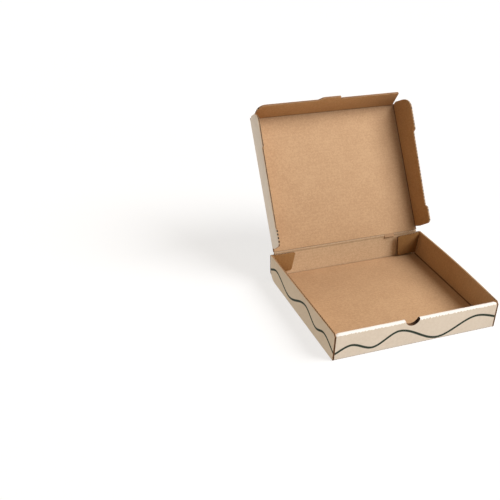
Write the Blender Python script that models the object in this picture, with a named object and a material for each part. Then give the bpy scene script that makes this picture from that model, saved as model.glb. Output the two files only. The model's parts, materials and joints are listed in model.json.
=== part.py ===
# Corrugated board takeaway carton with a hinged lid, shown open.
# Metres, +Z up. The origin is the middle of the tray's underside, the front wall faces -Y.

import bpy
import bmesh
import math
from mathutils import Matrix, Vector

# Board and tray
WIDTH = 0.300                 # outer width of the tray at its foot
DEPTH = 0.256                 # outer depth of the tray
WALL_HEIGHT = 0.048           # floor to the top of the side and front walls
BOARD = 0.003                 # thickness of one sheet
FRONT_WALL = 0.0068           # two sheets, rolled over at the top
FRONT_CHAMFER = 0.0042        # cut at the front top corner of each side wall
FOOT = 0.0004                 # the walls' feet stay this much above the underside
FOOT_BEVEL = 0.0012           # softened fold between floor and wall
END_INSET = 0.0002            # raw ends of the side walls stand back from the corner
FLOOR_INSET = 0.0017          # underside, set in from the outer faces
# Rounded rear corners on the left and on the right: side wall's foot, back wall's foot
# and the floor seen from above
LEFT_REAR = (0.0190, 0.0120, 0.0110)
RIGHT_REAR = (0.0080, 0.0055, 0.0050)
LEFT_FLARE = 0.0020           # how far the rear top corner stands out on the left
RIGHT_FLARE = 0.0038          # and on the right
RIGHT_BOW = 0.0033            # outward bow of the right wall's top at mid depth
WALL_STEPS = 16

# Thumb notch in the front wall
NOTCH_X = -0.0125
NOTCH_RADIUS = 0.0137
NOTCH_Z = 0.0504

# Rear corner ears, folded in from the side walls: foot, reach at the top, reach at the
# foot, corner radius at the foot, angle off the back wall and gap to it at the root
EAR_TOP = 0.0477
LEFT_EAR = (0.0112, 0.0412, 0.0370, 0.0055, math.radians(0.0), 0.0003)
RIGHT_EAR = (0.0065, 0.0450, 0.0405, 0.0040, math.radians(4.0), 0.0016)

# Lid
HINGE_Y = DEPTH / 2 - BOARD / 2
HINGE_Z = 0.0498
LID_OPEN = math.radians(124.5)   # angle from shut to where the lid stands
LID_HALF = 0.1464                # half of the lid's outer width
LID_START = 0.0018               # gap from the hinge line to the panel
LID_LENGTH = 0.2432              # hinge line to the front crease
HEAD_LEFT = -0.1450              # the rounded head of the back wall
HEAD_RIGHT = 0.1445
SHOULDER = 0.0463                # back wall beside its rounded head
CREASE_GAP = 0.0022
TAB_DEPTH = 0.0045
TAB = (0.0770, 0.0970)           # small tab on the hinge line
TAB_PLAY = 0.0005

# Angle of each lid flap from the panel, 90 degrees being square to it
FRONT_FLAP_ANGLE = math.radians(109.5)
LEFT_FLAP_ANGLE = math.radians(93.5)
RIGHT_FLAP_ANGLE = math.radians(106.5)

# Side flap outline: s runs along the lid from the hinge line, h down the flap
SIDE_START = 0.0070
SIDE_END = 0.2465
SIDE_FULL_FRONT = 0.0445
SIDE_FULL_REAR = 0.0395
SIDE_RECESS_FRONT = 0.0390
SIDE_RECESS_REAR = 0.0350
RECESS_FROM = 0.0400
RECESS_TO = 0.1845
SIDE_FRONT_RADIUS = 0.0190
SIDE_REAR_RADIUS = 0.0080

# Front flap outline
FRONT_LEFT = -0.1420
FRONT_RIGHT_ROOT = 0.1424
FRONT_RIGHT_TIP = 0.1396
FRONT_DEPTH = 0.0405
FRONT_TAB_DEPTH = 0.0466
FRONT_TAB = (-0.0262, 0.0200)
FRONT_LEFT_RADIUS = 0.0140

# Board colours: kraft liner in the light and in the folds' shade
KRAFT = (0.560, 0.345, 0.185, 1.0)
KRAFT_SHADE = (0.420, 0.245, 0.120, 1.0)
ROUGHNESS = 0.82


def clear_scene():
    for obj in list(bpy.data.objects):
        bpy.data.objects.remove(obj, do_unlink=True)
    for name in ("pizza_box", "cutters"):
        old = bpy.data.collections.get(name)
        if old:
            bpy.data.collections.remove(old)


def new_collection(name):
    coll = bpy.data.collections.new(name)
    bpy.context.scene.collection.children.link(coll)
    return coll


def board_material(obj, colour):
    """Gives a node a plain board material of its own."""
    mat = bpy.data.materials.new(obj.name + "_board")
    mat.use_nodes = True
    bsdf = mat.node_tree.nodes["Principled BSDF"]
    bsdf.inputs["Base Color"].default_value = colour
    bsdf.inputs["Roughness"].default_value = ROUGHNESS
    bsdf.inputs["Metallic"].default_value = 0.0
    obj.data.materials.clear()
    obj.data.materials.append(mat)


def arc(cx, cy, radius, start, end, steps):
    """Points on a circle from one angle to another, both in degrees."""
    pts = []
    for i in range(steps + 1):
        a = math.radians(start + (end - start) * i / steps)
        pts.append((cx + radius * math.cos(a), cy + radius * math.sin(a)))
    return pts


def sheet(name, outline, thickness, coll):
    """A flat outline in the object's own XY plane, as a solid sheet centred on it."""
    curve = bpy.data.curves.new(name, "CURVE")
    curve.dimensions = "2D"
    curve.fill_mode = "BOTH"
    curve.extrude = thickness / 2
    spline = curve.splines.new("POLY")
    spline.points.add(len(outline) - 1)
    for point, (x, y) in zip(spline.points, outline):
        point.co = (x, y, 0.0, 1.0)
    spline.use_cyclic_u = True
    source = bpy.data.objects.new(name + "_outline", curve)
    bpy.context.scene.collection.objects.link(source)
    bpy.context.view_layer.update()
    graph = bpy.context.evaluated_depsgraph_get()
    mesh = bpy.data.meshes.new_from_object(source.evaluated_get(graph))
    bpy.data.objects.remove(source, do_unlink=True)
    bm = bmesh.new()
    bm.from_mesh(mesh)
    bmesh.ops.remove_doubles(bm, verts=bm.verts, dist=0.00001)
    bmesh.ops.triangulate(bm, faces=bm.faces)
    bmesh.ops.recalc_face_normals(bm, faces=bm.faces)
    bm.to_mesh(mesh)
    bm.free()
    mesh.name = name
    obj = bpy.data.objects.new(name, mesh)
    coll.objects.link(obj)
    return obj


def box(name, low, high, coll):
    """A box between two opposite corners."""
    mesh = bpy.data.meshes.new(name)
    bm = bmesh.new()
    bmesh.ops.create_cube(bm, size=1.0)
    for v in bm.verts:
        v.co = Vector((low[i] + (high[i] - low[i]) * (v.co[i] + 0.5) for i in range(3)))
    bm.to_mesh(mesh)
    bm.free()
    obj = bpy.data.objects.new(name, mesh)
    coll.objects.link(obj)
    return obj


def cylinder_y(name, x, y0, y1, z, radius, segments, coll):
    """A round bar along Y."""
    bpy.ops.mesh.primitive_cylinder_add(vertices=segments, radius=radius, depth=abs(y1 - y0),
                                        location=(x, (y0 + y1) / 2, z),
                                        rotation=(math.pi / 2, 0, 0))
    obj = bpy.context.object
    obj.name = name
    for other in list(obj.users_collection):
        other.objects.unlink(obj)
    coll.objects.link(obj)
    return obj


def combine(target, tool, operation):
    """Joins a piece to the target or cuts it away, and keeps the result as the target's mesh."""
    mod = target.modifiers.new(operation.lower(), "BOOLEAN")
    mod.operation = operation
    mod.solver = "EXACT"
    mod.object = tool
    bpy.context.view_layer.update()
    graph = bpy.context.evaluated_depsgraph_get()
    mesh = bpy.data.meshes.new_from_object(target.evaluated_get(graph))
    target.modifiers.clear()
    old = target.data
    target.data = mesh
    bpy.data.meshes.remove(old)
    mesh.name = target.name
    bpy.data.objects.remove(tool, do_unlink=True)


def apply_transform(obj):
    bpy.context.view_layer.update()
    obj.data.transform(obj.matrix_world)
    obj.location = (0, 0, 0)
    obj.rotation_euler = (0, 0, 0)
    obj.scale = (1, 1, 1)


def side_wall(name, sign, coll):
    """One side wall, drawn in the YZ plane and then leant and bowed outward."""
    front, rear = -DEPTH / 2 + END_INSET, DEPTH / 2 - END_INSET
    r = (RIGHT_REAR if sign > 0 else LEFT_REAR)[0]
    outline = [(front, FOOT)] + arc(rear - r, FOOT + r, r, -90, 0, 6)
    outline += [(rear, WALL_HEIGHT), (front + FRONT_CHAMFER, WALL_HEIGHT),
                (front, WALL_HEIGHT - FRONT_CHAMFER)]
    obj = sheet(name, outline, BOARD, coll)
    # the sheet's own X and Y become world Y and Z
    obj.rotation_euler = (math.pi / 2, 0, math.pi / 2)
    obj.location = (sign * (WIDTH / 2 - BOARD / 2), 0, 0)
    apply_transform(obj)
    bm = bmesh.new()
    bm.from_mesh(obj.data)
    bmesh.ops.dissolve_limit(bm, angle_limit=0.01, verts=bm.verts, edges=bm.edges)
    cuts = [((0, 0, FOOT + FOOT_BEVEL), (0, 0, 1))]
    span = rear - 0.020 - (front + 0.006)
    for i in range(WALL_STEPS + 1):
        cuts.append(((0, front + 0.006 + span * i / WALL_STEPS, 0), (0, 1, 0)))
    for point, normal in cuts:
        bmesh.ops.bisect_plane(bm, geom=bm.verts[:] + bm.edges[:] + bm.faces[:], dist=1e-6,
                               plane_co=point, plane_no=normal)
    bmesh.ops.triangulate(bm, faces=bm.faces)
    flare = RIGHT_FLARE if sign > 0 else LEFT_FLARE
    bow = RIGHT_BOW if sign > 0 else 0.0
    for v in bm.verts:
        back = (v.co.y + DEPTH / 2) / DEPTH
        up = v.co.z / WALL_HEIGHT
        outer = abs(v.co.x) > WIDTH / 2 - BOARD / 2
        if outer and v.co.z < FOOT + FOOT_BEVEL / 2:
            v.co.x -= sign * FOOT_BEVEL
        v.co.x += sign * up * (flare * back + bow * math.sin(math.pi * back))
    bm.to_mesh(obj.data)
    bm.free()
    return obj


def ear(name, sign, coll):
    """A rear ear, drawn flat from its root at a side wall, then folded in."""
    foot, reach_top, reach_foot, r, angle, gap = RIGHT_EAR if sign > 0 else LEFT_EAR
    lean = (RIGHT_FLARE if sign > 0 else LEFT_FLARE) * 0.9
    outline = arc(reach_foot - r, foot + r, r, -90, 0, 6)
    outline += arc(reach_top - 0.003, EAR_TOP - 0.003, 0.003, 0, 90, 4)
    outline += [(-0.0015 - lean, EAR_TOP), (-0.0015, foot)]
    obj = sheet(name, outline, BOARD, coll)
    if sign > 0:
        obj.data.transform(Matrix.Diagonal((-1, 1, 1, 1)))
        obj.data.flip_normals()
    # stood up so that the sheet faces the front
    obj.rotation_euler = (math.pi / 2, 0, angle)
    obj.location = (sign * (WIDTH / 2 - BOARD), DEPTH / 2 - BOARD * 1.5 - gap, 0)
    apply_transform(obj)
    return obj


def back_wall(coll):
    """The back wall: an upright section with a round head, trimmed to its outline."""
    half_w, rear = WIDTH / 2, DEPTH / 2
    section = [(rear - BOARD, FOOT), (rear - FOOT_BEVEL, FOOT), (rear, FOOT + FOOT_BEVEL)]
    section += arc(HINGE_Y, HINGE_Z, BOARD / 2, 0, 180, 10)
    wall = sheet("back_wall", section, WIDTH + 0.02, coll)
    wall.rotation_euler = (math.pi / 2, 0, math.pi / 2)
    apply_transform(wall)
    left, right = -half_w + 0.0006, half_w - 0.0006
    r, left_r = RIGHT_REAR[1], LEFT_REAR[1]
    outline = [(left + left_r, -0.01), (right - r, -0.01), (right - r, FOOT / 2)]
    outline += arc(right - r, FOOT / 2 + r, r, -90, 0, 5)[1:]
    outline += [(right, SHOULDER), (HEAD_RIGHT, SHOULDER), (HEAD_RIGHT, HINGE_Z + 0.01),
                (HEAD_LEFT, HINGE_Z + 0.01), (HEAD_LEFT, SHOULDER), (left, SHOULDER)]
    outline += arc(left + left_r, FOOT / 2 + left_r, left_r, 180, 270, 5)
    trim = sheet("back_outline", outline, BOARD * 8, coll)
    trim.rotation_euler = (math.pi / 2, 0, 0)
    trim.location = (0, rear - BOARD / 2, 0)
    apply_transform(trim)
    combine(wall, trim, "INTERSECT")
    slot = box("slot", (TAB[0] - TAB_PLAY, rear - 0.02, HINGE_Z - 0.0053),
               (TAB[1] + TAB_PLAY, rear + 0.02, HINGE_Z + 0.02), coll)
    combine(wall, slot, "DIFFERENCE")
    return wall


def front_wall(coll):
    """The front wall: two sheets with a rolled top, and the thumb notch cut in it."""
    front = -DEPTH / 2
    roll = FRONT_WALL / 2
    section = [(front + FOOT_BEVEL, FOOT), (front + FRONT_WALL, FOOT)]
    section += arc(front + roll, WALL_HEIGHT - roll, roll, 0, 180, 8)
    section += [(front, FOOT + FOOT_BEVEL)]
    wall = sheet("front_wall", section, WIDTH - 2 * BOARD + 0.0010, coll)
    wall.rotation_euler = (math.pi / 2, 0, math.pi / 2)
    apply_transform(wall)
    notch = cylinder_y("notch", NOTCH_X, front - 0.005, front + FRONT_WALL + 0.005,
                       NOTCH_Z, NOTCH_RADIUS, 32, coll)
    apply_transform(notch)
    combine(wall, notch, "DIFFERENCE")
    return wall


def make_tray(parts, cutters):
    """Floor, four walls and two ears, joined into the one folded sheet."""
    half_w, half_d = WIDTH / 2 - FLOOR_INSET, DEPTH / 2 - FLOOR_INSET
    r, left_r = RIGHT_REAR[2], LEFT_REAR[2]
    outline = [(-half_w, -half_d), (half_w, -half_d)]
    outline += arc(half_w - r, half_d - r, r, 0, 90, 5)
    outline += arc(-half_w + left_r, half_d - left_r, left_r, 90, 180, 5)
    tray = sheet("tray", outline, BOARD, parts)
    tray.location = (0, 0, BOARD / 2)
    apply_transform(tray)
    pieces = [back_wall(cutters), front_wall(cutters)]
    for name, sign in (("left", -1), ("right", 1)):
        pieces += [side_wall(name + "_wall", sign, cutters), ear(name + "_ear", sign, cutters)]
    for piece in pieces:
        combine(tray, piece, "UNION")
    bm = bmesh.new()
    bm.from_mesh(tray.data)
    bmesh.ops.remove_doubles(bm, verts=bm.verts, dist=0.000005)
    bmesh.ops.triangulate(bm, faces=bm.faces)
    bm.to_mesh(tray.data)
    bm.free()
    return tray


def make_panel(parent, parts):
    """The lid's flat panel: X across, Y along the lid, Z towards its inner side."""
    panel = box("lid_panel", (-LID_HALF, LID_START, -BOARD / 2),
                (LID_HALF, LID_LENGTH + BOARD / 2, BOARD / 2), parts)
    bm = bmesh.new()
    bm.from_mesh(panel.data)
    edges = []
    for e in bm.edges:
        a, b = e.verts[0].co, e.verts[1].co
        flat = abs(a.z - b.z) < 1e-6
        at_hinge = abs(a.y - LID_START) < 1e-6 and abs(b.y - LID_START) < 1e-6
        if flat and not at_hinge:
            edges.append(e)
    bmesh.ops.bevel(bm, geom=edges, offset=BOARD / 2 * 0.96, segments=3, profile=0.5,
                    affect="EDGES", clamp_overlap=True)
    bm.to_mesh(panel.data)
    bm.free()
    tab = box("tab", (TAB[0], -TAB_DEPTH, -BOARD / 2 + 0.00005),
              (TAB[1], LID_START + 0.004, BOARD / 2 - 0.00005), parts)
    combine(panel, tab, "UNION")
    panel.parent = parent
    return panel


def side_flap_outline():
    """Outline of a side flap in (h, s)."""
    pts = [(CREASE_GAP, SIDE_START + 0.001), (0.012, SIDE_START),
           (SIDE_FULL_REAR - SIDE_REAR_RADIUS, SIDE_START + 0.0015)]
    pts += arc(SIDE_FULL_REAR - SIDE_REAR_RADIUS, SIDE_START + 0.0015 + SIDE_REAR_RADIUS,
               SIDE_REAR_RADIUS, -78, 0, 5)
    pts += [(SIDE_FULL_REAR, RECESS_FROM - 0.0015),
            (SIDE_RECESS_REAR, RECESS_FROM + 0.0025),
            (SIDE_RECESS_FRONT, RECESS_TO - 0.0035),
            (SIDE_FULL_FRONT - 0.001, RECESS_TO)]
    r = SIDE_FRONT_RADIUS
    pts += arc(SIDE_FULL_FRONT - r, SIDE_END - 0.0010 - r, r, 2, 88, 9)
    pts += [(0.009, SIDE_END), (CREASE_GAP, SIDE_END - 0.0040)]
    return pts


def front_flap_outline():
    """Outline of the front flap in (x, h)."""
    r = FRONT_LEFT_RADIUS
    t0, t1 = FRONT_TAB
    pts = [(FRONT_LEFT + 0.0003, CREASE_GAP), (FRONT_RIGHT_ROOT, CREASE_GAP),
           (FRONT_RIGHT_TIP, FRONT_DEPTH - 0.0040)]
    pts += arc(FRONT_RIGHT_TIP - 0.0030, FRONT_DEPTH - 0.0030, 0.0030, 15, 90, 3)
    pts += [(t1 + 0.0030, FRONT_DEPTH), (t1 + 0.0010, FRONT_DEPTH - 0.0016),
            (t1 - 0.0006, FRONT_DEPTH + 0.0012)]
    pts += arc(t1 - 0.0045, FRONT_TAB_DEPTH - 0.0032, 0.0032, 15, 90, 4)
    pts += arc(t0 + 0.0120, FRONT_TAB_DEPTH - 0.0100, 0.0100, 92, 140, 4)
    pts += [(t0, FRONT_DEPTH)]
    pts += arc(FRONT_LEFT + 0.0010 + r, FRONT_DEPTH - r, r, 90, 176, 7)
    return pts


def make_flaps(parent, parts):
    """The three flaps of the lid, each with its origin on its crease."""
    side = side_flap_outline()
    axis_x = LID_HALF - BOARD / 2
    right = sheet("lid_right_flap", side, BOARD, parts)
    right.location = (axis_x, 0, 0)
    right.rotation_euler = (0, RIGHT_FLAP_ANGLE - math.pi, 0)
    left = sheet("lid_left_flap", [(-h, s) for h, s in reversed(side)], BOARD, parts)
    left.location = (-axis_x, 0, 0)
    left.rotation_euler = (0, math.pi - LEFT_FLAP_ANGLE, 0)
    front = sheet("lid_front_flap", front_flap_outline(), BOARD, parts)
    front.location = (0, LID_LENGTH, 0)
    front.rotation_euler = (math.pi - FRONT_FLAP_ANGLE, 0, 0)
    for flap in (right, left, front):
        flap.parent = parent
    return right, left, front


def main():
    clear_scene()
    parts = new_collection("pizza_box")
    cutters = new_collection("cutters")

    tray = make_tray(parts, cutters)
    hinge = bpy.data.objects.new("lid_hinge_line", None)
    hinge.empty_display_size = 0.05
    hinge.location = (0, HINGE_Y, HINGE_Z)
    hinge.rotation_euler = (math.pi - LID_OPEN, 0, 0)
    parts.objects.link(hinge)
    panel = make_panel(hinge, parts)
    flaps = make_flaps(hinge, parts)

    for obj in (tray, panel):
        board_material(obj, KRAFT)
    for obj in flaps:
        board_material(obj, KRAFT_SHADE)
    bpy.context.view_layer.update()


main()
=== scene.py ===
import bmesh
import bpy
import json
import math
from mathutils import Matrix, Vector


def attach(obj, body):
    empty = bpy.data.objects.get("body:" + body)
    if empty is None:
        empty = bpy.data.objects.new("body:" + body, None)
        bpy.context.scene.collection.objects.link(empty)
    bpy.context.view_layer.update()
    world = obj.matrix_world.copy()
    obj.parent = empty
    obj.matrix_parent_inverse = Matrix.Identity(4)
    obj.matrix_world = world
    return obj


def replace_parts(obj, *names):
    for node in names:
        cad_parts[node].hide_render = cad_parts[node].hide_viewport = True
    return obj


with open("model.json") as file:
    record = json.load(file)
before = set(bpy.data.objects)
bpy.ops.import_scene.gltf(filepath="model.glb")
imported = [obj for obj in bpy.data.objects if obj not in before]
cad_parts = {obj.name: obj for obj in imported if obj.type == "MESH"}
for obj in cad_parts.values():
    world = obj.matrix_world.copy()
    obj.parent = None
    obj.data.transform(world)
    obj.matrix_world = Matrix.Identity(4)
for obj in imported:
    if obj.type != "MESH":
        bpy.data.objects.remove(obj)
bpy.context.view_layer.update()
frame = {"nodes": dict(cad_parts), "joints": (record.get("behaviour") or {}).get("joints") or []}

# The folded board's own sizes, in metres
BOARD = 0.003
WIDTH = 0.300
DEPTH = 0.256
WALL_TOP = 0.048
CUT_EDGE = 0.00028           # softened rim of a die-cut edge
FLOOR_RIM = 0.0005           # softened rim of the floor panel
FOLD_RADIUS = 0.0011
FLUTE_PITCH = 0.0062
LINER = 0.00035
HAIR = 0.0001                # clearance that keeps two faces from lying in one place
NEAR = 1e-6                  # two heights closer than this are the same
SHARP_ANGLE = math.radians(34)
FLAT_FACE = 0.95             # share of Z in a normal: a flat liner has at least this,
CUT_FACE = 0.3               # a cut at most this,
LINER_FACE = 0.42            # and above this a face gets the liner's finish
SAME_POINT = 0.00001         # corners closer than this are joined
FLAT_ANGLE = math.radians(1.0)

# Side walls
LEFT_FLARE = 0.0020
RIGHT_FLARE = 0.0038
RIGHT_BOW = 0.0033
CORNER_CHAMFER = 0.0042
LEFT_REAR = (0.0195, 0.0120, 0.0110)     # rounded corner: side wall, back wall, floor
RIGHT_REAR = (0.0080, 0.0055, 0.0050)
CURL_WIDTH = 0.0125
CURL_THICK = 0.0015
WALL_STATION = 0.012

# Front wall: two sheets, rolled over at the top
FRONT_WALL = 0.0068
ROLL = FRONT_WALL / 2
ROLL_CRACK = 0.0448          # height of the cracked edge of the white roll
NOTCH = (-0.0125, 0.0504, 0.0137)    # middle across, height and radius
FRONT_STATION = 0.004
INNER_LIP = 0.0008           # how far the inner sheet stands over the floor's front edge
CRACK_PITCH = 0.0058         # spacing of the teeth along the cracked edge
DENT_DEPTH = 0.00012         # small waves along the top of the roll
DENT_TURN = 311.0            # turns them on and off along the wall, in radians per metre
END_DROP = 0.0022            # how far the roll falls away at its two ends

# Back wall and hinge line
SHOULDER = 0.0463
HEAD = (-0.1450, 0.1445)
SLOT = (0.0765, 0.0975)
SLOT_FLOOR = 0.0445

# Ears: foot, reach at the top, reach at the foot, foot radius, angle in degrees and gap at the root
EAR_TOP = 0.0477
EAR_CORNER = 0.003
EAR_FLARE = 0.9              # share of the side wall's flare that the ear's root follows
LEFT_EAR = (0.0112, 0.0412, 0.0370, 0.0055, 0.0, 0.0003)
RIGHT_EAR = (0.0065, 0.0450, 0.0405, 0.0040, 4.0, 0.0016)

# The lid's places, from the joints of the frame
JOINTS = {joint["name"]: joint for joint in frame["joints"]}
HINGE = Vector(JOINTS["lid_hinge"]["pos_m"])
UP_LID = Vector(JOINTS["right_flap_fold"]["axis"]).normalized()
ACROSS = Vector((1, 0, 0))
UP = Vector((0, 0, 1))
LID_INNER = ACROSS.cross(UP_LID)
FRONT_FOLD = Vector(JOINTS["front_flap_fold"]["pos_m"])
LEFT_FOLD = Vector(JOINTS["left_flap_fold"]["pos_m"])
RIGHT_FOLD = Vector(JOINTS["right_flap_fold"]["pos_m"])
LID_LENGTH = (FRONT_FOLD - HINGE).length
FRONT_ANGLE = math.radians(109.5)
LEFT_ANGLE = math.radians(93.5)
RIGHT_ANGLE = math.radians(106.5)
CREASE_GAP = 0.0022
LID_START = 0.0018
STRIP_LAP = 0.0004           # how far a strip of liner reaches past the crease
STRIP_INSET = 0.0005
SIDE_STRIP = (0.0085, LID_LENGTH - 0.0010)     # where the strips start and end along a fold
FRONT_STRIP = (-0.1405, 0.1412)
RECESS_FROM = 0.0400         # distance from the hinge where the side flaps' recesses start

# Colours of paper and ink, linear
KRAFT_LIGHT = (0.560, 0.371, 0.223)
KRAFT_DARK = (0.472, 0.300, 0.174)
# A darker, deeper brown copy of the kraft for the inner faces of the right and front flaps: painted
# shade
SHADED_FLAP_LIGHT = (0.500, 0.288, 0.136)
SHADED_FLAP_DARK = (0.425, 0.233, 0.103)
KRAFT_FLECK = (0.300, 0.165, 0.080)
EAR_LIGHT = (0.335, 0.185, 0.073)
EAR_DARK = (0.280, 0.148, 0.055)
# Tints for copies of the kraft and cream on single surfaces, matched to how light falls on each:
# painted shade
FRONT_FLAP_SHADE_TINT = (0.92, 0.86, 0.76)
FLOOR_LIGHTING_TINT = (1.00, 0.98, 0.95)
RIGHT_EAR_SHADE_TINT = (0.78, 0.72, 0.60)
RIGHT_WALL_SHADE_TINT = (1.00, 0.92, 0.76)
RIGHT_FLAP_SHADE_TINT = (0.94, 0.88, 0.77)
LEFT_WALL_SHADE_TINT = (0.93, 0.87, 0.77)
# A lighter, paler copy for the back wall: painted light, and a paler paper there
BACK_LIT_TINT = (1.24, 1.40, 1.56)
CREAM = (0.675, 0.590, 0.490)
CREAM_SHADE = (0.615, 0.525, 0.425)
CREAM_FLECK = (0.470, 0.375, 0.270)
ROLL_WHITE = (0.900, 0.885, 0.865)
GREEN_INK = (0.001, 0.016, 0.007)
SAGE_INK = (0.360, 0.415, 0.300)
EDGE_PAPER = (0.360, 0.205, 0.105)
EDGE_SHADE = (0.115, 0.048, 0.018)
# Near black: painted shade in the hollows of open flutes and in gaps
HOLLOW_SHADE = (0.018, 0.008, 0.004)
RIM_PAPER = (0.560, 0.400, 0.260)
GROUND_TONES = ((0.300, 0.305, 0.315), (0.310, 0.315, 0.325))

# Painted shade in the folds, and soft painted shadows: axis, where the shade starts, where it is
# full, and how dark it is
PANEL_PAINTED_SHADE = ((0, 0.1434, 0.1446, 0.90), (1, LID_LENGTH - 0.0016, LID_LENGTH + 0.0004, 0.50),
                (1, LID_LENGTH - 0.0160, LID_LENGTH + 0.0020, 0.14),
                (0, 0.0700, 0.1300, 0.22), (0, 0.1180, 0.1460, 0.32),
                (0, -0.1438, -0.1450, 0.70), (1, 0.0030, 0.0016, 0.35))
RIGHT_FLAP_PAINTED_SHADE = ((0, 0.0036, 0.0022, 0.80),)
FRONT_FLAP_PAINTED_SHADE = ((1, 0.0036, 0.0022, 0.50), (0, 0.0200, 0.1400, 0.20))
RIGHT_WALL_PAINTED_SHADE = ((0, 0.0046, 0.0032, 0.80),)
BACK_PAINTED_SHADE = ((1, 0.0046, 0.0030, 0.25), (1, 0.0462, 0.0470, 0.30), (0, 0.0750, 0.1050, 0.22))
FLOOR_PAINTED_SHADE = ((0, 0.1446, 0.1462, 0.92), (0, -0.1450, -0.1464, 0.60),
                (0, 0.0300, 0.1400, 0.10), (1, -0.0400, 0.1250, 0.20),
                (1, 0.1230, 0.1244, 0.30))

# Texture scales, in features per metre
FIBRE_SCALE = 900.0
CREAM_FIBRE_SCALE = 800.0
CLOUD_SCALE = 20.0
FIBRE_STRETCH = (0.35, 1.0, 1.0)

# Printed lines: width and how softly the ink ends
WAVE_WIDTH = 0.0041
WAVE_SOFT = 0.00022
LID_LINE = 0.0022
LID_LINE_SOFT = 0.0002
INK_COVER = 0.97
# Crests and troughs of the walls' line: distance along the wall and height
FRONT_WAVE = ((-0.1600, 0.0085), (-0.1195, 0.0227), (-0.0815, 0.0101), (-0.0345, 0.0311),
              (0.0385, 0.0038), (0.1105, 0.0304), (0.1750, 0.0150))
LEFT_WAVE = ((-0.1400, 0.0125), (-0.0935, 0.0287), (-0.0640, 0.0193), (-0.0220, 0.0353),
             (0.0430, 0.0122), (0.0977, 0.0298), (0.1330, 0.0170))
# The lid's generic print: ovals as place, half sizes and turn; leaves as place, length and turn
LID_SPOTS = ((-0.100, 0.055, 0.024, 0.015, 20), (-0.060, 0.185, 0.030, 0.018, -25),
             (0.020, 0.110, 0.028, 0.017, 35), (0.095, 0.195, 0.026, 0.016, 10),
             (0.105, 0.070, 0.022, 0.014, -40), (-0.005, 0.040, 0.018, 0.011, 0),
             (0.030, 0.212, 0.019, 0.012, -15))
LID_LEAVES = ((-0.105, 0.070, 0.046, 60), (-0.052, 0.178, 0.052, -35), (0.030, 0.120, 0.050, 20),
              (0.088, 0.185, 0.048, 75), (0.100, 0.082, 0.042, -20), (-0.112, 0.135, 0.036, 10))
LID_SWEEPS = (((-0.150, 0.110), (-0.085, 0.100), (-0.010, 0.150), (0.070, 0.128), (0.150, 0.158)),
              ((-0.150, 0.026), (-0.070, 0.014), (0.010, 0.072), (0.085, 0.022), (0.150, 0.040)))

# Lights: name, direction towards them, strength, spread in degrees and colour
LIGHTS = (("key_light", (0.64, -0.354, 0.70), 3.45, 38.0, (1.0, 0.985, 0.965)),
          ("front_fill", (0.0, -0.59, 0.81), 0.38, 60.0, (1.0, 0.78, 0.55)),
          ("rear_fill", (-0.85, 0.50, 0.07), 0.80, 25.0, (1.0, 0.96, 0.91)))
ROOM_COLOUR = (1.0, 0.80, 0.58, 1.0)
ROOM_STRENGTH = 0.21
GROUND_SIZE = 120.0
GROUND_DROP = 0.0006
GROUND_GLOW = 0.70

# The camera as fitted to the photo: pixels, then millimetres, then metres
PHOTO_WIDTH = 500.0
FOCAL_PIXELS = 806.62
SENSOR_WIDTH = 36.0
CAMERA_PLACE = (-0.65340, -1.00095, 0.76923)
CAMERA_LOOK = Vector((0.32815, 0.80095, -0.50080))
CAMERA_UP = Vector((0.14756, 0.48019, 0.86467))


class Field:
    """A value that changes over a surface. Its operators add the shader's own maths."""

    def __init__(self, recipe, socket):
        self.recipe = recipe
        self.socket = socket

    def maths(self, operation, *others):
        inputs = dict(enumerate((self,) + others))
        return self.recipe.node("ShaderNodeMath", {"operation": operation}, inputs)

    def __add__(self, other):
        return self.maths("ADD", other)

    __radd__ = __add__

    def __sub__(self, other):
        return self.maths("SUBTRACT", other)

    def __rsub__(self, other):
        return self.maths("MULTIPLY", -1.0).maths("ADD", other)

    def __mul__(self, other):
        return self.maths("MULTIPLY", other)

    __rmul__ = __mul__

    def __truediv__(self, other):
        return self.maths("DIVIDE", other)

    def __neg__(self):
        return self.maths("MULTIPLY", -1.0)

    def __abs__(self):
        return self.maths("ABSOLUTE")

    def least(self, other):
        return self.maths("MINIMUM", other)

    def most(self, other):
        return self.maths("MAXIMUM", other)

    def sine(self):
        return self.maths("SINE")

    def root(self):
        return self.maths("SQRT")

    def ramp(self, low, high, start=0.0, end=1.0):
        """Runs smoothly from start to end as the value goes from low to high."""
        names = ("Value", "From Min", "From Max", "To Min", "To Max")
        settings = {"interpolation_type": "SMOOTHSTEP"}
        return self.recipe.node("ShaderNodeMapRange", settings,
                                dict(zip(names, (self, low, high, start, end))))


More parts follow.
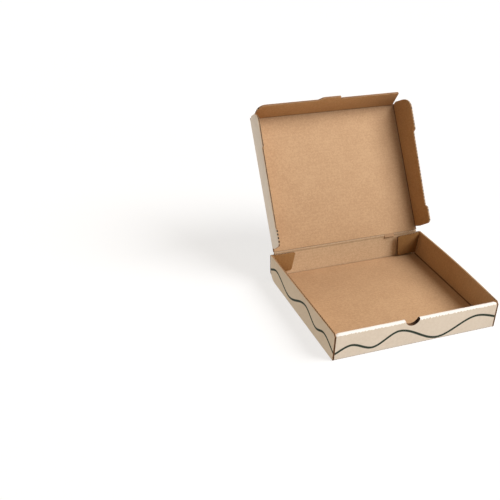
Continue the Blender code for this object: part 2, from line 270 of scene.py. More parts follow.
class Recipe:
    """One material: its nodes, and the Principled surface that they feed."""

    def __init__(self, name, roughness=0.8):
        self.material = bpy.data.materials.new(name)
        self.material.use_nodes = True
        self.tree = self.material.node_tree
        self.surface = self.tree.nodes["Principled BSDF"]
        self.surface.inputs["Roughness"].default_value = roughness
        self.surface.inputs["Specular IOR Level"].default_value = 0.25

    def node(self, kind, settings=None, inputs=None, output=0):
        made = self.tree.nodes.new(kind)
        for key, value in (settings or {}).items():
            setattr(made, key, value)
        for key, value in (inputs or {}).items():
            self.feed(made.inputs[key], value)
        return Field(self, made.outputs[output])

    def feed(self, socket, value):
        if isinstance(value, Field):
            self.tree.links.new(value.socket, socket)
        elif isinstance(value, tuple) and socket.type == "RGBA":
            socket.default_value = (*value, 1.0)
        else:
            socket.default_value = value

    def place(self):
        return self.node("ShaderNodeTexCoord", output="Object")

    def axes(self):
        spot = self.place()
        return [self.node("ShaderNodeSeparateXYZ", {}, {0: spot}, output=i) for i in range(3)]

    def noise(self, scale, detail=3.0, roughness=0.55, stretch=(1.0, 1.0, 1.0)):
        spot = self.node("ShaderNodeVectorMath", {"operation": "MULTIPLY"},
                         {0: self.place(), 1: stretch})
        return self.node("ShaderNodeTexNoise", {"noise_dimensions": "3D"},
                         {"Vector": spot, "Scale": scale, "Detail": detail,
                          "Roughness": roughness})

    def mix(self, below, above, amount):
        return self.node("ShaderNodeMix", {"data_type": "RGBA"},
                         {0: amount, 6: below, 7: above}, output=2)

    def finish(self, colour, height=None, distance=0.0001, roughness=None):
        self.feed(self.surface.inputs["Base Color"], colour)
        if roughness is not None:
            self.feed(self.surface.inputs["Roughness"], roughness)
        if height is not None:
            normal = self.node("ShaderNodeBump", {},
                               {"Strength": 0.6, "Distance": distance, "Height": height})
            self.feed(self.surface.inputs["Normal"], normal)
        return self.material


def tinted(colour, tint):
    """A colour with each channel scaled."""
    return tuple(a * b for a, b in zip(colour, tint))


def repeating(along, pitch, wander=0.0):
    """A wave that repeats at a pitch, and that a second value can shift."""
    return (along * (2 * math.pi / pitch) + wander).sine()


def kraft_liner(name, light=KRAFT_LIGHT, dark=KRAFT_DARK, painted_shade=()):
    """Brown inner liner: mottled, with fibres, flecks and the flutes showing faintly, and painted
    shade where it is given.
    """
    recipe = Recipe(name)
    axes = recipe.axes()
    cloud = recipe.noise(CLOUD_SCALE, 1.0)
    mottle = recipe.noise(340.0, 3.0, 0.65)
    fibre = recipe.noise(FIBRE_SCALE, 4.0, 0.65, FIBRE_STRETCH)
    lines = repeating(axes[1], FLUTE_PITCH)
    tone = (cloud - 0.5) * 0.8 + (mottle - 0.5) * 2.6 + (fibre - 0.5) * 2.2
    tone = tone + lines * 0.05 + 0.5
    paper = recipe.mix(dark, light, tone.ramp(-0.1, 1.1))
    flecks = recipe.noise(1300.0, 1.0).ramp(0.64, 0.74, 0.0, 0.55)
    paper = recipe.mix(paper, KRAFT_FLECK, flecks)
    # painted shade: the paper darkens towards EDGE_SHADE in the folds and where shadows fall
    for axis, start, full, depth in painted_shade:
        if full > start:
            shade = axes[axis].ramp(start, full, 0.0, depth)
        else:
            shade = axes[axis].ramp(full, start, depth, 0.0)
        paper = recipe.mix(paper, EDGE_SHADE, shade)
    height = fibre * 0.6 + mottle * 0.3 + lines * 0.35
    return recipe.finish(paper, height, 0.00010, fibre.ramp(0.2, 0.8, 0.74, 0.90))


def cream_paper(recipe, tint=(1.0, 1.0, 1.0)):
    """Uncoated white-top liner: warm, with a little of the brown showing through."""
    cloud = recipe.noise(CLOUD_SCALE, 2.0)
    mottle = recipe.noise(210.0, 3.0, 0.6)
    fibre = recipe.noise(CREAM_FIBRE_SCALE, 4.0, 0.65, FIBRE_STRETCH)
    tone = (cloud - 0.5) * 0.8 + (mottle - 0.5) * 1.3 + (fibre - 0.5) * 0.7 + 0.55
    paper = recipe.mix(tinted(CREAM_SHADE, tint), tinted(CREAM, tint), tone.ramp(0.0, 1.0))
    flecks = recipe.noise(1150.0, 1.0).ramp(0.66, 0.75, 0.0, 0.35)
    return recipe.mix(paper, CREAM_FLECK, flecks), fibre, mottle


def cream_liner(name, wave=None, print_layer=None, tint=(1.0, 1.0, 1.0)):
    """Cream outer liner, plain or with a wave line or the lid's print."""
    recipe = Recipe(name, 0.7)
    axes = recipe.axes()
    paper, fibre, mottle = cream_paper(recipe, tint)
    lines = repeating(axes[1], FLUTE_PITCH)
    if wave:
        paper = recipe.mix(paper, GREEN_INK, wave_ink(recipe, axes, wave))
    if print_layer:
        paper = print_layer(recipe, axes, paper)
    height = fibre * 0.5 + mottle * 0.3 + lines * 0.3
    return recipe.finish(paper, height, 0.00008, fibre.ramp(0.2, 0.8, 0.62, 0.78))


def wave_height(along, crests):
    """Height of the printed line, easing from each crest to the next."""
    height = crests[0][1]
    for (here, low), (there, high) in zip(crests, crests[1:]):
        height = height + along.ramp(here, there, 0.0, high - low)
    return height


def distance_to(along, up, crests, step):
    """Distance to a printed line, measured square to its slope."""
    middle = wave_height(along, crests)
    slope = (wave_height(along + step, crests) - wave_height(along - step, crests)) / (2 * step)
    return abs(up - middle) / (slope * slope + 1.0).root()


def inked(distance, width, soft):
    """Full ink within half a line's width, ending softly."""
    return distance.ramp(width / 2 - soft, width / 2 + soft, INK_COVER, 0.0)


def wave_ink(recipe, axes, wave):
    """Where the walls' line is inked. A wave is its crests, two axes and a direction."""
    crests, along_axis, up_axis, sign = wave
    square = distance_to(axes[along_axis] * sign, axes[up_axis], crests, 0.0010)
    rough = recipe.noise(1400.0, 1.0).ramp(0.2, 0.8, -HAIR, HAIR)
    return inked(square + rough, WAVE_WIDTH, WAVE_SOFT)


def turned(axes, x, y, turn):
    """Coordinates from a point, turned by an angle in degrees."""
    c, s = math.cos(math.radians(turn)), math.sin(math.radians(turn))
    across, along = axes[0] - x, axes[1] - y
    return across * c + along * s, along * c - across * s


def leaf(axes, x, y, length, turn, line):
    """A leaf's outline and middle rib, as a distance to the nearest line."""
    u, v = turned(axes, x, y, turn)
    radius, lift = length * 0.78, length * 0.60
    ring = [((u * u + (v - side * lift) * (v - side * lift)).root() - radius)
            for side in (1.0, -1.0)]
    rim = ring[0].most(ring[1])
    rib = abs(v).most(rim + line)
    return abs(rim).least(rib)


def oval(axes, x, y, wide, tall, turn):
    """Distance measure of an oval: below one inside it."""
    u, v = turned(axes, x, y, turn)
    return (u / wide) * (u / wide) + (v / tall) * (v / tall)


def lid_print(recipe, axes, paper):
    """Generic print of the lid: sage ovals, and leaves and two sweeping lines in dark green."""
    sage = None
    for x, y, wide, tall, turn in LID_SPOTS:
        inside = oval(axes, x, y, wide, tall, turn).ramp(0.96, 1.03, 1.0, 0.0)
        sage = inside if sage is None else sage.most(inside)
    lines = None
    for x, y, length, turn in LID_LEAVES:
        near = leaf(axes, x, y, length, turn, LID_LINE)
        lines = near if lines is None else lines.least(near)
    for crests in LID_SWEEPS:
        lines = lines.least(distance_to(axes[0], axes[1], crests, 0.0015))
    ink = inked(lines, LID_LINE, LID_LINE_SOFT)
    return recipe.mix(recipe.mix(paper, SAGE_INK, sage), GREEN_INK, ink)


def flute_ends(name):
    """A cut across the flutes: two liners and a wavy sheet, with painted shade in the hollows
    between.
    """
    recipe = Recipe(name, 0.9)
    _, y, z = recipe.axes()
    ragged = recipe.noise(FIBRE_SCALE, 2.0)
    wander = recipe.noise(60.0, 1.0).ramp(0.3, 0.7, -0.6, 0.6)
    sheet = repeating(y, FLUTE_PITCH, wander) * (BOARD * 0.34)
    off = abs(z - sheet) + (ragged - 0.5) * 0.0004
    paper = off.ramp(0.00030, 0.00060, 1.0, 0.0)
    skins = abs(z).ramp(BOARD / 2 - 0.00060, BOARD / 2 - 0.00035)
    colour = recipe.mix(HOLLOW_SHADE, EDGE_PAPER, paper.most(skins))
    return recipe.finish(colour, paper.most(skins) + ragged * 0.4, 0.0004)


def flute_dashes(name, dashed_to):
    """A flap's free edge in pale paper: open flutes as dashes of painted shade by the hinge, a
    brown seam of painted shade beyond.
    """
    recipe = Recipe(name, 0.9)
    _, y, z = recipe.axes()
    wander = recipe.noise(55.0, 1.0).ramp(0.3, 0.7, -0.9, 0.9)
    opening = repeating(y, FLUTE_PITCH, wander).ramp(-0.35, 0.10)
    depth = recipe.noise(140.0, 1.0).ramp(0.30, 0.60, 0.55, 1.0)
    skins = abs(z).ramp(BOARD / 2 - 0.00045, BOARD / 2 - 0.00020, 1.0, 0.45)
    beyond = abs(y).ramp(dashed_to, dashed_to + 0.002)
    dashes = opening * depth * skins * (1.0 - beyond)
    # a dark seam of painted shade along the flutes and the inner liner, beyond the dashes
    shade_seam = abs(z - 0.0003).ramp(0.0006, 0.0011, 0.92, 0.0) * depth.ramp(0.55, 1.0, 0.80, 1.0)
    dark = dashes.most(shade_seam * beyond.ramp(0.0, 1.0, 0.3, 1.0))
    return recipe.finish(recipe.mix(RIM_PAPER, HOLLOW_SHADE, dark), -dark, 0.0004)


def flute_side(name, skin=EDGE_PAPER, core=EDGE_SHADE, hollow_shade=HOLLOW_SHADE):
    """A cut along the flutes: crushed brown paper between the two liners, streaked with painted
    shade.
    """
    recipe = Recipe(name, 0.9)
    z = recipe.axes()[2]
    streak = recipe.noise(220.0, 3.0, 0.6, (0.3, 0.3, 3.0))
    ragged = recipe.noise(1100.0, 2.0)
    skins = abs(z).ramp(BOARD / 2 - 0.00060, BOARD / 2 - 0.00025)
    middle = recipe.mix(hollow_shade, core, (streak * 0.7 + ragged * 0.6).ramp(0.3, 0.9))
    colour = recipe.mix(middle, skin, skins * 0.7)
    return recipe.finish(colour, skins + ragged * 0.5, 0.0003)


def front_wrap(name):
    """Outer liner of the front wall: the wave, the roll whose coating has cracked white, and
    painted shade in dashes along the foot.
    """
    recipe = Recipe(name, 0.7)
    axes = recipe.axes()
    paper, fibre, mottle = cream_paper(recipe)
    outside = axes[2].ramp(ROLL * 0.9, ROLL, 1.0, 0.0)
    ink = wave_ink(recipe, axes, (FRONT_WAVE, 0, 1, -1.0))
    paper = recipe.mix(paper, GREEN_INK, ink * outside)
    teeth = repeating(axes[0], CRACK_PITCH) * 0.00045
    torn = recipe.noise(240.0, 4.0, 0.7).ramp(0.25, 0.75, -0.0013, 0.0013)
    white = (axes[1] + teeth + torn).ramp(ROLL_CRACK - 0.0003, ROLL_CRACK + 0.0003)
    paper = recipe.mix(paper, ROLL_WHITE, white)
    # painted shade: dashes at the flute pitch along the foot, where the wall's fold meets the
    # ground
    dashes = repeating(axes[0], FLUTE_PITCH).ramp(-0.2, 0.4, 0.55, 0.95)
    foot = axes[1].ramp(0.0009, 0.0015, 1.0, 0.0) * dashes * outside
    paper = recipe.mix(paper, EDGE_SHADE, foot)
    height = fibre * 0.5 + mottle * 0.3 + white * 1.2
    return recipe.finish(paper, height, 0.00012, fibre.ramp(0.2, 0.8, 0.62, 0.78))


def notch_cut(name):
    """The cut face of the notch: two sheets with painted shade in the gap between them, darker
    towards one side.
    """
    recipe = Recipe(name, 0.9)
    x, _, z = recipe.axes()
    ragged = recipe.noise(FIBRE_SCALE, 2.0)
    sheets = []
    for middle in (BOARD / 2, FRONT_WALL - BOARD / 2):
        off = abs(z - middle)
        skin = off.ramp(BOARD / 2 - 0.0007, BOARD / 2 - 0.0003)
        sheets.append(skin.least(off.ramp(BOARD / 2, BOARD / 2 + 0.0002, 1.0, 0.0)))
    skins = sheets[0].most(sheets[1])
    # painted shade: near black in the gap and towards the notch's right side, browner towards its
    # left, where the sheets' edges show
    colour = recipe.mix(HOLLOW_SHADE, EDGE_SHADE, ragged.ramp(0.3, 0.7) * x.ramp(0.002, 0.020))
    colour = recipe.mix(colour, EDGE_PAPER, skins * x.ramp(0.004, 0.022, 0.05, 0.8))
    return recipe.finish(colour, skins + ragged * 0.4, 0.0003)


INNER = kraft_liner("kraft_liner")
OUTER = cream_liner("cream_liner")
ENDS = flute_ends("cut_flute_ends")
SIDE = flute_side("cut_flute_side")
FLAP_ENDS = flute_dashes("flap_flute_ends", RECESS_FROM)
RIGHT_FLAP_ENDS = flute_dashes("right_flap_flute_ends", LID_LENGTH)
FLAP_SIDE = flute_side("flap_flute_side", RIM_PAPER, EDGE_PAPER, EDGE_SHADE)


def place_at(origin, across, along):
    """A place with X across, Y along and Z square to both, towards the board's inner face."""
    x, y = Vector(across).normalized(), Vector(along).normalized()
    place = Matrix((x, y, x.cross(y))).transposed().to_4x4()
    place.translation = origin
    return place


def sort_faces(bm, folded=False):
    """Marks each face: inner liner, outer liner, cut across the flutes or cut along them."""
    for face in bm.faces:
        n = face.normal
        if abs(n.z) > LINER_FACE or folded:
            face.material_index = 0 if n.z > (-0.05 if folded else 0) else 1
        else:
            face.material_index = 2 if abs(n.x) > abs(n.y) else 3


def finish_piece(name, bm, place, body, finishes):
    """Turns the drawn board into a piece that rides on its body."""
    mesh = bpy.data.meshes.new(name)
    bm.to_mesh(mesh)
    bm.free()
    for finish in finishes:
        mesh.materials.append(finish)
    piece = bpy.data.objects.new(name, mesh)
    bpy.context.scene.collection.objects.link(piece)
    piece.matrix_world = place
    mesh.shade_smooth()
    mesh.set_sharp_from_angle(angle=SHARP_ANGLE)
    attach(piece, body)
    return piece


def soften(bm, edges, width, steps=2):
    """Rounds the given edges."""
    bmesh.ops.bevel(bm, geom=edges, offset=width, segments=steps, profile=0.5,
                    affect="EDGES", clamp_overlap=True)


def level(edge):
    """Whether an edge stays on one face of its board."""
    a, b = edge.verts
    return abs(a.co.z - b.co.z) < NEAR


def cut_rims(bm):
    """Edges where a liner meets a cut."""
    rims = []
    for edge in bm.edges:
        if len(edge.link_faces) == 2:
            a, b = (abs(f.normal.z) for f in edge.link_faces)
            if max(a, b) > FLAT_FACE and min(a, b) < CUT_FACE:
                rims.append(edge)
    return rims


def drawn_board(outline):
    """A sheet from its outline in X and Y, centred on Z."""
    bm = bmesh.new()
    corners = [bm.verts.new((x, y, -BOARD / 2)) for x, y in outline]
    face = bm.faces.new(corners)
    if face.normal.z > 0:
        face.normal_flip()
    risen = bmesh.ops.extrude_face_region(bm, geom=[face])
    moved = [v for v in risen["geom"] if isinstance(v, bmesh.types.BMVert)]
    bmesh.ops.translate(bm, verts=moved, vec=(0, 0, BOARD))
    bmesh.ops.recalc_face_normals(bm, faces=bm.faces)
    bm.normal_update()
    return bm


def sliced(bm, axis, low, high, station):
    """Cuts the board across at even stations, so that it can bend."""
    count = max(1, round((high - low) / station))
    for i in range(1, count):
        point, normal = [0, 0, 0], [0, 0, 0]
        point[axis], normal[axis] = low + (high - low) * i / count, 1
        bmesh.ops.bisect_plane(bm, geom=bm.verts[:] + bm.edges[:] + bm.faces[:], dist=NEAR,
                               plane_co=point, plane_no=normal)


def arc(cx, cy, radius, start, end, steps):
    """Points on an arc between two angles in degrees."""
    turns = [math.radians(start + (end - start) * i / steps) for i in range(steps + 1)]
    return [(cx + radius * math.cos(a), cy + radius * math.sin(a)) for a in turns]


def tongue(bm, low, high):
    """The outer liner carried round a crease, as a thin strip between two corners."""
    middle = [(a + b) / 2 for a, b in zip(low, high)]
    spread = Matrix.Diagonal([b - a for a, b in zip(low, high)] + [1.0])
    made = bmesh.ops.create_cube(bm, size=1.0, matrix=Matrix.Translation(middle) @ spread)
    for face in {f for v in made["verts"] for f in v.link_faces}:
        face.material_index = 1 if face.normal.z < 0.5 else 0


def lid_piece(node, body, place, strip, finishes, folded=False):
    """Dresses one of the lid's boards: its CAD outline, softened rims and crease strip."""
    bm = bmesh.new()
    bm.from_mesh(frame["nodes"][node].data)
    bm.transform(place.inverted())
    bmesh.ops.remove_doubles(bm, verts=bm.verts, dist=SAME_POINT)
    bmesh.ops.dissolve_limit(bm, angle_limit=FLAT_ANGLE, verts=bm.verts, edges=bm.edges)
    bm.normal_update()
    soften(bm, cut_rims(bm), CUT_EDGE)
    bm.normal_update()
    sort_faces(bm, folded)
    tongue(bm, *strip)
    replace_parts(finish_piece(node + "_dressed", bm, place, body, finishes), node)


def make_lid():
    """The lid: a panel and three flaps, each with its outer liner carried to the crease."""
    def strip(x, y):
        """Corners of a crease strip on the outer face, from its two spans."""
        return (x[0], y[0], -BOARD / 2), (x[1], y[1], -BOARD / 2 + LINER)

    def folded_out(side, angle):
        """Direction of a flap that is folded from a direction in the panel."""
        return side * -math.cos(angle) + LID_INNER * math.sin(angle)

    printed = cream_liner("lid_cream_liner", print_layer=lid_print)
    # The panel's kraft has painted shade in its folds and a painted shadow by the right flap; the
    # right and front flaps get darker copies of the kraft with painted shade at their folds
    panel_liner = kraft_liner("panel_kraft_liner", painted_shade=PANEL_PAINTED_SHADE)
    right_liner = kraft_liner("right_flap_liner", tinted(SHADED_FLAP_LIGHT, RIGHT_FLAP_SHADE_TINT),
                              tinted(SHADED_FLAP_DARK, RIGHT_FLAP_SHADE_TINT), RIGHT_FLAP_PAINTED_SHADE)
    front_liner = kraft_liner("front_flap_liner", tinted(SHADED_FLAP_LIGHT, FRONT_FLAP_SHADE_TINT),
                              tinted(SHADED_FLAP_DARK, FRONT_FLAP_SHADE_TINT), FRONT_FLAP_PAINTED_SHADE)

    span = (HEAD[0] + STRIP_INSET, HEAD[1] - STRIP_INSET)
    lid_piece("lid_panel", "lid", place_at(HINGE, ACROSS, UP_LID),
              strip(span, (0.0, LID_START + STRIP_LAP)),
              (panel_liner, printed, FLAP_ENDS, FLAP_SIDE), True)
    lap = (0.0, CREASE_GAP + STRIP_LAP)
    low, high = SIDE_STRIP
    right = place_at(RIGHT_FOLD, folded_out(ACROSS, RIGHT_ANGLE), UP_LID)
    lid_piece("lid_right_flap", "right_flap", right, strip(lap, (low, high)),
              (right_liner, OUTER, RIGHT_FLAP_ENDS, FLAP_SIDE))
    left = place_at(LEFT_FOLD, folded_out(-ACROSS, LEFT_ANGLE), -UP_LID)
    lid_piece("lid_left_flap", "left_flap", left, strip(lap, (-high, -low)),
              (INNER, OUTER, FLAP_ENDS, FLAP_SIDE))
    front = place_at(FRONT_FOLD, ACROSS, folded_out(UP_LID, FRONT_ANGLE))
    lid_piece("lid_front_flap", "front_flap", front, strip(FRONT_STRIP, lap),
              (front_liner, OUTER, FLAP_ENDS, FLAP_SIDE))


def wall_lean(up, back, flare, bow):
    """How far a side wall stands out at a height and a place along it."""
    share = (back + DEPTH / 2) / DEPTH
    return up / WALL_TOP * (flare * share + bow * math.sin(math.pi * share))


def make_side_wall(name, sign, inner_finish, wave_finish):
    """A side wall: X runs up it, Y along it, Z inward."""
    front, rear = -DEPTH / 2 + 2 * HAIR, DEPTH / 2 - BOARD - HAIR
    r = (RIGHT_REAR if sign > 0 else LEFT_REAR)[0]
    along = 1 if sign > 0 else -1
    outline = [(0.0, front)] + [(x, y) for y, x in arc(rear - r, r, r, -90, 0, 10)]
    outline += [(WALL_TOP, rear), (WALL_TOP, front + CORNER_CHAMFER),
                (WALL_TOP - CORNER_CHAMFER, front)]
    outline = [(x, y * along) for x, y in outline]
    bm = drawn_board(outline)

    def on_fold(v):
        at_rear = abs(v.co.y - rear * along) < NEAR or v.co.y * along > rear - r
        return v.co.z < 0 and (v.co.x < NEAR or at_rear)

    folds = [e for e in bm.edges if all(on_fold(v) for v in e.verts) and level(e)
             and max(v.co.x for v in e.verts) < WALL_TOP - HAIR]
    soften(bm, folds, FOLD_RADIUS, 4)
    bm.normal_update()
    soften(bm, [e for e in cut_rims(bm) if min(v.co.x for v in e.verts) > 0.001], CUT_EDGE)
    sliced(bm, 1, -DEPTH / 2, DEPTH / 2, WALL_STATION)
    flare, bow = (RIGHT_FLARE, RIGHT_BOW) if sign > 0 else (LEFT_FLARE, 0.0)
    bm.normal_update()
    sort_faces(bm)
    for v in bm.verts:
        v.co.z -= wall_lean(v.co.x, v.co.y * along, flare, bow)
    bm.normal_update()
    place = place_at(Vector((sign * (WIDTH / 2 - BOARD / 2), 0, 0)), UP, (0, along, 0))
    return finish_piece(name, bm, place, "tray", (inner_finish, wave_finish, ENDS, SIDE))


def make_ear(name, sign, liner):
    """An ear folded in from a side wall: X runs up, Y towards the left, Z to the front."""
    foot, reach_top, reach_foot, r, angle, gap = RIGHT_EAR if sign > 0 else LEFT_EAR
    flare = (RIGHT_FLARE if sign > 0 else LEFT_FLARE) * EAR_FLARE
    outline = [(foot, 0.0), (EAR_TOP, flare)]
    outline += [(x, -y) for y, x in
                arc(reach_top - EAR_CORNER, EAR_TOP - EAR_CORNER, EAR_CORNER, 90, 0, 4)]
    outline += [(x, -y) for y, x in arc(reach_foot - r, foot + r, r, 0, -90, 6)]
    outline = [(x, y * -sign) for x, y in outline]
    bm = drawn_board(outline)
    soften(bm, cut_rims(bm), CUT_EDGE)
    bm.normal_update()
    sort_faces(bm)
    turn = Matrix.Rotation(math.radians(angle), 4, "Z")
    root = Vector((sign * (WIDTH / 2 - BOARD), DEPTH / 2 - BOARD * 1.5 - gap, 0))
    place = place_at(root, UP, turn @ Vector((-1, 0, 0)))
    return finish_piece(name, bm, place, "tray", (liner, OUTER, ENDS, SIDE))


def make_back_wall():
    """The back wall, up to the rounded head of the crease: X across, Y up, Z to the front."""
    head = HINGE.z + BOARD / 2
    half, left_r, r = WIDTH / 2 - 3 * HAIR, LEFT_REAR[1], RIGHT_REAR[1]
    outline = arc(half - r, r, r, -90, 0, 8)
    outline += [(half + RIGHT_FLARE, SHOULDER), (HEAD[1], SHOULDER), (HEAD[1], head),
                (SLOT[1], head), (SLOT[1], SLOT_FLOOR), (SLOT[0], SLOT_FLOOR), (SLOT[0], head),
                (HEAD[0], head), (HEAD[0], SHOULDER), (-half - LEFT_FLARE, SHOULDER)]
    outline += arc(-half + left_r, left_r, left_r, 180, 270, 8)
    bm = drawn_board(outline)
    top = [e for e in bm.edges if level(e) and all(abs(v.co.y - head) < NEAR for v in e.verts)]
    soften(bm, top, BOARD / 2 * 0.96, 5)
    foot = [e for e in bm.edges if all(v.co.y < NEAR and v.co.z < 0 for v in e.verts)
            and abs(e.verts[0].co.x - e.verts[1].co.x) > 0.1]
    soften(bm, foot, FOLD_RADIUS, 4)
    bm.normal_update()
    sort_faces(bm)
    for face in bm.faces:
        middle = face.calc_center_median()
        if middle.y > HINGE.z - 2 * HAIR and HEAD[0] < middle.x < HEAD[1]:
            face.material_index = 0 if middle.z > -HAIR else 1
    wave = cream_liner("back_cream_liner", (FRONT_WAVE, 0, 1, 1.0))
    # A lighter, paler copy of the kraft, with painted shade at the foot, on the head and beside the
    # right ear: painted light and painted shade
    inner = kraft_liner("back_kraft_liner", tinted(KRAFT_LIGHT, BACK_LIT_TINT),
                        tinted(KRAFT_DARK, BACK_LIT_TINT), BACK_PAINTED_SHADE)
    place = place_at(Vector((0, DEPTH / 2 - BOARD / 2, 0)), ACROSS, UP)
    return finish_piece("back_wall", bm, place, "tray", (inner, wave, ENDS, SIDE))


def close_tube(bm, rings):
    """Joins rings of points into a closed tube with flat ends."""
    count = len(rings[0])
    for a, b in zip(rings, rings[1:]):
        for i in range(count):
            j = (i + 1) % count
            bm.faces.new((a[i], a[j], b[j], b[i]))
    bm.faces.new(rings[0])
    bm.faces.new(rings[-1])
    bmesh.ops.recalc_face_normals(bm, faces=bm.faces)
    bm.normal_update()


def make_front_wall():
    """The rolled front wall: X towards the left, Y up, Z inward from the outer face."""
    half = WIDTH / 2 - BOARD - 2 * HAIR
    section = arc(FOLD_RADIUS, FOLD_RADIUS, FOLD_RADIUS, 270, 180, 5)
    section += arc(ROLL, WALL_TOP - ROLL, ROLL, 180, 0, 14)
    section += [(FRONT_WALL, BOARD + HAIR), (FRONT_WALL - INNER_LIP, BOARD + HAIR),
                (FRONT_WALL - INNER_LIP, 0.0)]
    stations = round(2 * half / FRONT_STATION)
    bm = bmesh.new()
    rings = []
    for i in range(stations + 1):
        across = -half + 2 * half * i / stations
        dent = DENT_DEPTH * math.sin(across * 2 * math.pi / CRACK_PITCH)
        dent *= math.sin(across * DENT_TURN)
        drop = max(0.0, END_DROP - min(abs(across + half), abs(across - half)))
        rings.append([bm.verts.new((across, y + dent - drop if y > WALL_TOP - ROLL else y, z))
                      for z, y in section])
    close_tube(bm, rings)
    for face in bm.faces:
        face.material_index = 1 if abs(face.normal.x) > 0.9 else 0
    place = place_at(Vector((0, -DEPTH / 2, 0)), (-1, 0, 0), UP)
    wall = finish_piece("front_wall", bm, place, "tray",
                        (front_wrap("front_cream_liner"), notch_cut("notch_cut")))
    across, height, radius = NOTCH
    bpy.ops.mesh.primitive_cylinder_add(vertices=64, radius=radius, depth=FRONT_WALL * 3,
                                        location=(across, -DEPTH / 2 + ROLL, height),
                                        rotation=(math.pi / 2, 0, 0))
    punch = bpy.context.object
    punch.data.materials.append(wall.data.materials[1])
    cut = wall.modifiers.new("notch", "BOOLEAN")
    cut.operation = "DIFFERENCE"
    cut.solver = "EXACT"
    cut.material_mode = "TRANSFER"
    cut.object = punch
    bpy.context.view_layer.update()
    graph = bpy.context.evaluated_depsgraph_get()
    mesh = bpy.data.meshes.new_from_object(wall.evaluated_get(graph))
    wall.modifiers.clear()
    wall.data = mesh
    mesh.set_sharp_from_angle(angle=SHARP_ANGLE)
    bpy.data.objects.remove(punch, do_unlink=True)


def make_floor():
    """The tray's floor: its kraft face up, with a scored groove at each fold darkened by painted
    shade, and painted shade towards its rear and right.
    """
    gap = 4 * HAIR
    half_x, front = WIDTH / 2 - BOARD - gap, -DEPTH / 2 + FRONT_WALL - INNER_LIP + gap
    rear, left_r, r = DEPTH / 2 - BOARD - gap, LEFT_REAR[2], RIGHT_REAR[2]
    outline = [(-half_x, front), (half_x, front)]
    outline += arc(half_x - r, rear - r, r, 0, 90, 5)
    outline += arc(-half_x + left_r, rear - left_r, left_r, 90, 180, 5)
    bm = drawn_board(outline)
    soften(bm, cut_rims(bm), FLOOR_RIM)
    bm.normal_update()
    sort_faces(bm)
    place = place_at(Vector((0, 0, BOARD / 2)), ACROSS, (0, 1, 0))
    # painted shade: dark lines along the folds and a soft painted shadow towards the rear and the
    # right wall
    liner = kraft_liner("floor_kraft_liner", tinted(KRAFT_LIGHT, FLOOR_LIGHTING_TINT),
                        tinted(KRAFT_DARK, FLOOR_LIGHTING_TINT), FLOOR_PAINTED_SHADE)
    return finish_piece("tray_floor", bm, place, "tray", (liner, OUTER, ENDS, SIDE))


def make_corner_curl(name, sign):
    """The soft rear corner, where the side wall's foot curls under: X runs inward."""
    r = (RIGHT_REAR if sign > 0 else LEFT_REAR)[0]
    wide = CURL_WIDTH if sign < 0 else CURL_WIDTH * 0.5
    start = DEPTH / 2 - BOARD - r
    bm = bmesh.new()
    section = arc(start, r, r - HAIR, -90, 0, 10)
    section += arc(start, r, r - HAIR - CURL_THICK, -90, 0, 10)[::-1]
    close_tube(bm, [[bm.verts.new((x, y, z)) for y, z in section] for x in (0.0, wide)])
    middle = Vector((0, start, r))
    for face in bm.faces:
        spoke = face.calc_center_median() - middle
        spoke.x = 0
        face.material_index = 1 if face.normal.dot(spoke) > 0 else 0
    shift = Matrix.Translation((sign * (WIDTH / 2 - BOARD), 0, 0))
    bm.transform(shift @ Matrix.Diagonal((-sign, 1, 1, 1)))
    if sign > 0:
        bmesh.ops.reverse_faces(bm, faces=bm.faces)
    return finish_piece(name, bm, Matrix.Identity(4), "tray", (INNER, OUTER, ENDS, SIDE))


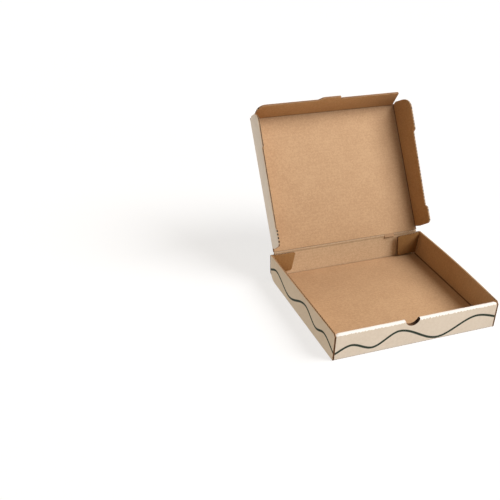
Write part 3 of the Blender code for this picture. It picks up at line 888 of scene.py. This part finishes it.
def make_tray():
    """The tray's pieces. They stand in for the one CAD solid together."""
    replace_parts(make_floor(), "tray")
    # The left wall's cream, the right wall's kraft and the right ear's kraft are darker copies:
    # painted shade, and painted shade at the right wall's foot
    left_wave = cream_liner("left_cream_liner", (LEFT_WAVE, 1, 0, -1.0), tint=LEFT_WALL_SHADE_TINT)
    right_wave = cream_liner("right_cream_liner", (LEFT_WAVE, 1, 0, 1.0))
    shaded_wall_liner = kraft_liner("wall_kraft_liner", tinted(KRAFT_LIGHT, RIGHT_WALL_SHADE_TINT),
                          tinted(KRAFT_DARK, RIGHT_WALL_SHADE_TINT), RIGHT_WALL_PAINTED_SHADE)
    make_side_wall("left_wall", -1, INNER, left_wave)
    make_side_wall("right_wall", 1, shaded_wall_liner, right_wave)
    make_corner_curl("left_corner", -1)
    make_corner_curl("right_corner", 1)
    make_ear("left_ear", -1, kraft_liner("ear_liner", EAR_LIGHT, EAR_DARK))
    make_ear("right_ear", 1, kraft_liner("right_ear_liner", tinted(EAR_LIGHT, RIGHT_EAR_SHADE_TINT),
                                         tinted(EAR_DARK, RIGHT_EAR_SHADE_TINT)))
    make_back_wall()
    make_front_wall()


def make_stage():
    """Plain pale floor, soft studio light and the camera."""
    bpy.ops.mesh.primitive_plane_add(size=GROUND_SIZE, location=(0, 0, -GROUND_DROP))
    ground = bpy.context.object
    ground.name = "studio_floor"
    recipe = Recipe("pale_floor", 0.9)
    cloud = recipe.noise(0.8, 1.0)
    recipe.surface.inputs["Emission Color"].default_value = (1.0, 1.0, 1.0, 1.0)
    recipe.surface.inputs["Emission Strength"].default_value = GROUND_GLOW
    ground.data.materials.append(recipe.finish(recipe.mix(*GROUND_TONES, cloud.ramp(0.3, 0.7))))

    world = bpy.data.worlds.new("soft_room")
    world.use_nodes = True
    background = world.node_tree.nodes["Background"]
    background.inputs["Color"].default_value = ROOM_COLOUR
    background.inputs["Strength"].default_value = ROOM_STRENGTH
    bpy.context.scene.world = world

    for name, direction, strength, spread, colour in LIGHTS:
        lamp = bpy.data.objects.new(name, bpy.data.lights.new(name, "SUN"))
        lamp.data.energy = strength
        lamp.data.angle = math.radians(spread)
        lamp.data.color = colour
        lamp.location = Vector(direction).normalized() * 2.0
        lamp.rotation_mode = "QUATERNION"
        lamp.rotation_quaternion = Vector(direction).to_track_quat("Z", "Y")
        bpy.context.scene.collection.objects.link(lamp)

    camera = bpy.data.objects.new("camera", bpy.data.cameras.new("camera"))
    bpy.context.scene.collection.objects.link(camera)
    bpy.context.scene.camera = camera
    camera.data.sensor_width = SENSOR_WIDTH
    camera.data.lens = FOCAL_PIXELS / PHOTO_WIDTH * SENSOR_WIDTH
    look = CAMERA_LOOK.normalized()
    right = look.cross(CAMERA_UP).normalized()
    turn = Matrix((right, right.cross(look), -look)).transposed()
    camera.matrix_world = Matrix.Translation(CAMERA_PLACE) @ turn.to_4x4()
    camera.data.clip_start = 0.01
    bpy.context.scene.view_settings.view_transform = "Standard"


make_stage()
make_tray()
make_lid()

bpy.context.view_layer.update()
